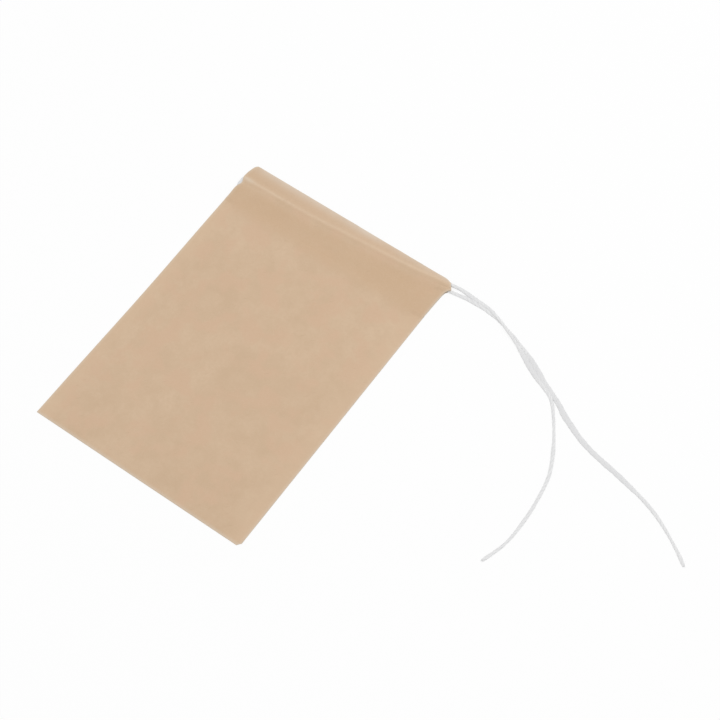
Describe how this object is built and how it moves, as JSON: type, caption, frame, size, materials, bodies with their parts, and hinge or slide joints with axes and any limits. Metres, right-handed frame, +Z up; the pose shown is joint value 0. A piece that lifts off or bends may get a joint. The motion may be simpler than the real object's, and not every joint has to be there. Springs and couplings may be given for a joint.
{
  "type": "drawstring paper tea filter bag",
  "caption": "Flat empty tea bag of unbleached filter paper with hemmed mouth, sealed sides and a white drawstring whose loose ends leave one corner.",
  "frame": {"origin": "middle of the bag's flat underside, on the surface it lies on", "axes": "+X along the mouth, towards the side where the string's ends come out; +Y from the bottom fold to the mouth; +Z up, through the bag's thickness"},
  "size_m": [0.1714, 0.1, 0.0024],
  "materials": {
    "filter_paper": "matt unbleached filter paper, faintly fibrous",
    "cotton_string": "soft loosely twisted white yarn"
  },
  "bodies": {
    "root": {"paper_bag": "filter_paper", "drawstring": "cotton_string"}
  },
  "joints": []
}
